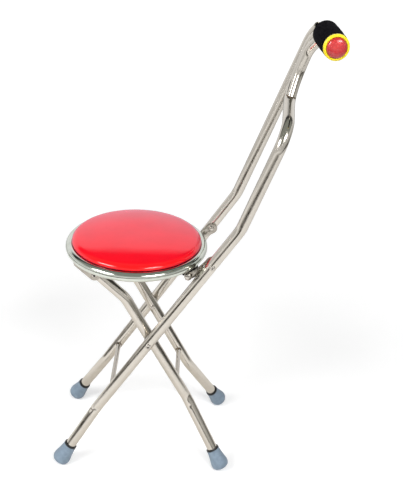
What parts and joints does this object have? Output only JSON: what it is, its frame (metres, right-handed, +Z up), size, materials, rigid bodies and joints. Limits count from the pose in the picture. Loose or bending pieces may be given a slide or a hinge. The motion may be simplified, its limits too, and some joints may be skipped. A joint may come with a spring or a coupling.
{
  "type": "folding cane stool",
  "caption": "Folding cane stool: crossed bent steel tubes, round padded seat that folds up, rubber feet and a side foam grip with a reflector end.",
  "frame": {"origin": "on the floor, under the middle of the object's bounding box", "axes": "+Z up; +X towards the handle, with the seat's hinge at -X; the grip and the pivots run along Y"},
  "size_m": [0.4152, 0.2282, 0.76],
  "materials": {
    "tube_steel": "polished stainless",
    "plate_steel": "satin",
    "ring_chrome": "polished",
    "black_plastic": "moulded",
    "grip_foam": "soft foam",
    "ring_yellow": "glossy",
    "lens_red": "clear-coated lens",
    "foot_rubber": "matt",
    "pad_vinyl": "glossy coated vinyl"
  },
  "bodies": {
    "back_frame": {"long_tube_far": "tube_steel", "long_tube_near": "tube_steel", "handle_tube": "tube_steel", "handle_grip": "grip_foam", "grip_end_ring": "ring_yellow", "grip_end_reflector": "lens_red", "grip_end_plug": "black_plastic", "front_crossbar": "tube_steel", "support_plate_far": "plate_steel", "support_plate_near": "plate_steel", "support_rod": "plate_steel", "rod_cap_far": "tube_steel", "rod_cap_near": "tube_steel", "support_rivet_far": "tube_steel", "support_rivet_near": "tube_steel", "pivot_rivet_far": "tube_steel", "pivot_rivet_near": "tube_steel", "pivot_spacer_far": "plate_steel", "pivot_spacer_near": "plate_steel", "tube_plug_far": "black_plastic", "tube_plug_near": "black_plastic", "front_foot_far": "foot_rubber", "front_foot_near": "foot_rubber"},
    "leg_frame": {"short_leg_far": "tube_steel", "short_leg_near": "tube_steel", "rear_crossbar": "tube_steel", "rear_foot_far": "foot_rubber", "rear_foot_near": "foot_rubber"},
    "seat": {"seat_ring": "ring_chrome", "seat_board": "black_plastic", "seat_cushion": "pad_vinyl", "hinge_plate_far": "plate_steel", "hinge_plate_near": "plate_steel", "hinge_rivet_far": "plate_steel", "hinge_rivet_near": "plate_steel", "rod_clip_far": "black_plastic", "rod_clip_near": "black_plastic", "clip_screw_far": "plate_steel", "clip_screw_near": "plate_steel", "board_tab_rear": "plate_steel", "board_tab_far": "plate_steel", "board_tab_front": "plate_steel", "board_tab_near": "plate_steel", "tab_screw_rear": "plate_steel", "tab_screw_far": "plate_steel", "tab_screw_front": "plate_steel", "tab_screw_near": "plate_steel"}
  },
  "joints": [
    {"name": "leg_fold", "type": "hinge", "parent": "back_frame", "child": "leg_frame", "pos_m": [-0.0466, 0, 0.2492], "axis": [0, 1, 0], "range_deg": [0, 53]},
    {"name": "seat_fold", "type": "hinge", "parent": "leg_frame", "child": "seat", "pos_m": [-0.1339, 0, 0.368], "axis": [0, 1, 0], "range_deg": [-106, 0]}
  ],
  "couplings": [
    {"joint": "seat_fold", "follows": "leg_fold", "ratio": -2}
  ]
}
